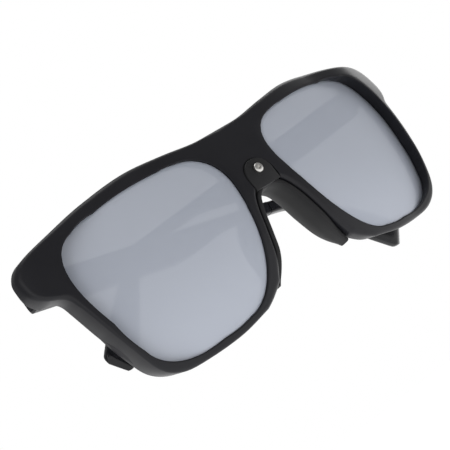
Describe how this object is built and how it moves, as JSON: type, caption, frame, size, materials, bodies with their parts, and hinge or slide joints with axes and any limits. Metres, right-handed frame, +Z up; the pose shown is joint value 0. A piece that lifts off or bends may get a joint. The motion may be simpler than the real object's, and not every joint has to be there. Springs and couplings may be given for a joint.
{
  "type": "folding sunglasses",
  "caption": "Square sunglasses with silver mirror lenses, a screwed rubber nose piece and hooked arms on screw hinges, folded behind the front.",
  "frame": {"origin": "bottom centre of the folded glasses: underside of the rims, middle of the bridge, middle of the folded depth", "axes": "+X to the wearer's left, +Y back to the ears, +Z up; the arms are folded at rest"},
  "size_m": [0.143, 0.035, 0.0535],
  "materials": {
    "frame": "satin black moulded nylon",
    "tip": "polished black ear tip",
    "rubber": "soft matte black rubber",
    "lens": "silver mirror coat on a grey polarised lens",
    "steel": "plain stainless screws and hinge leaves",
    "brass": "turned brass insert"
  },
  "bodies": {
    "front": {"front_frame": "frame", "lens_right": "lens", "lens_left": "lens", "nose_piece": "rubber", "nose_screw": "steel", "nose_screw_insert": "brass", "hinge_front_leaf_right": "steel", "hinge_screw_right": "steel", "front_leaf_screw_right_lower": "steel", "front_leaf_screw_right_upper": "steel", "hinge_front_leaf_left": "steel", "hinge_screw_left": "steel", "front_leaf_screw_left_lower": "steel", "front_leaf_screw_left_upper": "steel"},
    "right_arm": {"arm_right": "frame", "ear_tip_right": "tip", "core_wire_right": "steel", "hinge_arm_leaf_right": "steel", "arm_leaf_screw_right_front": "steel", "arm_leaf_screw_right_rear": "steel"},
    "left_arm": {"arm_left": "frame", "ear_tip_left": "tip", "core_wire_left": "steel", "hinge_arm_leaf_left": "steel", "arm_leaf_screw_left_front": "steel", "arm_leaf_screw_left_rear": "steel"}
  },
  "joints": [
    {"name": "right_hinge", "type": "hinge", "parent": "front", "child": "right_arm", "pos_m": [-0.066, 0.00482, 0.04211], "axis": [0.0471, 0, 0.9989], "range_deg": [0, 85.5]},
    {"name": "left_hinge", "type": "hinge", "parent": "front", "child": "left_arm", "pos_m": [0.066, 0.00482, 0.04211], "axis": [-0.0471, 0, -0.9989], "range_deg": [0, 91]}
  ]
}
